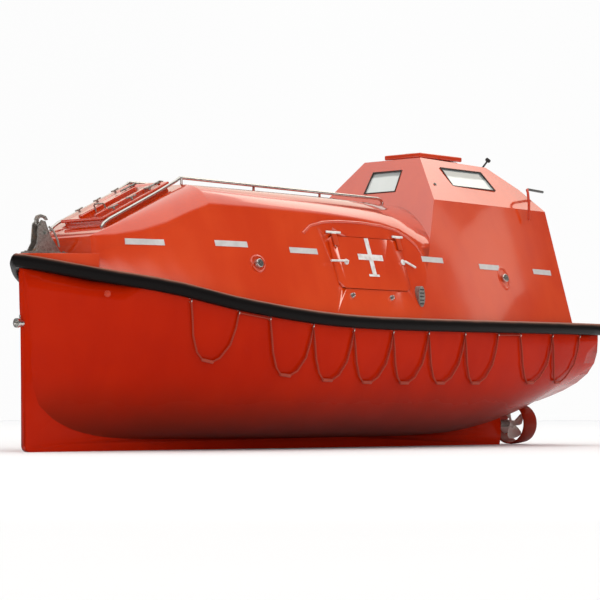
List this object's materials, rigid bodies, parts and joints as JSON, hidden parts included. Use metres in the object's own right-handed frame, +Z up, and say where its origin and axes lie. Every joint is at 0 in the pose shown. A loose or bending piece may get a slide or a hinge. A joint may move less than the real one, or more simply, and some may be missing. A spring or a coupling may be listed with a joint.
{
  "type": "enclosed lifeboat",
  "caption": "Totally enclosed davit-launched lifeboat: orange hull and canopy, faceted helm tower, side doors, hatches, release hooks and a steering nozzle around the propeller.",
  "frame": {"origin": "midship, on the centreline, in the plane the boat floats at when light", "axes": "+X forward to the bow, +Y to port, +Z up"},
  "size_m": [7.5, 2.7, 3.1105],
  "materials": {
    "orange_laminate": "glossy orange-red gelcoat on glass-fibre",
    "fender_rubber": "black rubber, slightly worn",
    "stainless_steel": "polished stainless steel",
    "galvanized_steel": "dull grey galvanized steel",
    "window_glass": "clear pane",
    "bronze": "cast bronze",
    "rope": "orange rope",
    "inside_liner": "pale grey moulded lining",
    "engine_paint": "grey-green paint"
  },
  "bodies": {
    "boat": {"hull": "orange_laminate", "fender": "fender_rubber", "canopy": "orange_laminate", "tower": "orange_laminate", "window_front": "window_glass", "window_port": "window_glass", "window_starboard": "window_glass", "window_aft": "window_glass", "foredeck": "orange_laminate", "aft_deck": "orange_laminate", "bow_hatch_coaming": "orange_laminate", "roof_hatch_coaming": "orange_laminate", "painter_release": "stainless_steel", "valve_port_fore": "stainless_steel", "valve_port_aft": "stainless_steel", "valve_starboard_fore": "stainless_steel", "valve_starboard_aft": "stainless_steel", "air_vent_port": "stainless_steel", "air_vent_starboard": "stainless_steel", "lamp_post": "galvanized_steel", "spray_pipe": "galvanized_steel", "bench_port": "inside_liner", "bench_starboard": "inside_liner", "engine": "engine_paint", "helm_seat": "inside_liner", "stern_tube": "galvanized_steel", "hook_bracket_fore": "galvanized_steel", "hook_bracket_aft": "galvanized_steel", "rail_port": "stainless_steel", "rail_starboard": "stainless_steel", "lifeline_port": "rope", "lifeline_starboard": "rope"},
    "bow_hatch": {"bow_hatch_lid": "orange_laminate"},
    "roof_hatch": {"roof_hatch_lid": "orange_laminate"},
    "stern_hatch": {"stern_hatch_door": "orange_laminate"},
    "door_port_side": {"door_port": "orange_laminate", "door_hinge_port_fore": "stainless_steel", "door_hinge_port_aft": "stainless_steel"},
    "door_starboard_side": {"door_starboard": "orange_laminate", "door_hinge_starboard_fore": "stainless_steel", "door_hinge_starboard_aft": "stainless_steel"},
    "propeller": {"propeller": "bronze"},
    "steering_nozzle": {"nozzle": "orange_laminate"},
    "fore_hook": {"hook_fore": "galvanized_steel"},
    "after_hook": {"hook_aft": "galvanized_steel"}
  },
  "joints": [
    {"name": "propeller_spin", "type": "hinge", "parent": "boat", "child": "propeller", "pos_m": [-3.5, 0, -0.368], "axis": [1, 0, 0], "continuous": true},
    {"name": "nozzle_steer", "type": "hinge", "parent": "boat", "child": "steering_nozzle", "pos_m": [-3.5, 0, -0.368], "axis": [0, 0, 1], "range_deg": [-30, 30]},
    {"name": "port_door_open", "type": "hinge", "parent": "boat", "child": "door_port_side", "pos_m": [0.06, 0.96847, 1.5], "axis": [0.9998, -0.0196, 0], "range_deg": [0, 110]},
    {"name": "starboard_door_open", "type": "hinge", "parent": "boat", "child": "door_starboard_side", "pos_m": [0.06, -0.96847, 1.5], "axis": [-0.9998, -0.0196, 0], "range_deg": [0, 110]},
    {"name": "bow_hatch_open", "type": "hinge", "parent": "boat", "child": "bow_hatch", "pos_m": [2.0617, 0, 1.94409], "axis": [0, -1, 0], "range_deg": [0, 100]},
    {"name": "roof_hatch_open", "type": "hinge", "parent": "boat", "child": "roof_hatch", "pos_m": [-2.355, 0, 2.498], "axis": [0, -1, 0], "range_deg": [0, 100]},
    {"name": "stern_hatch_open", "type": "hinge", "parent": "boat", "child": "stern_hatch", "pos_m": [-3.27, 0.29, 1.48], "axis": [0, 0, -1], "range_deg": [0, 100]},
    {"name": "fore_hook_release", "type": "hinge", "parent": "boat", "child": "fore_hook", "pos_m": [3.4, 0, 1.3805], "axis": [0, 1, 0], "range_deg": [0, 60]},
    {"name": "aft_hook_release", "type": "hinge", "parent": "boat", "child": "after_hook", "pos_m": [-3.5, 0, 0.8905], "axis": [0, -1, 0], "range_deg": [0, 60]}
  ]
}
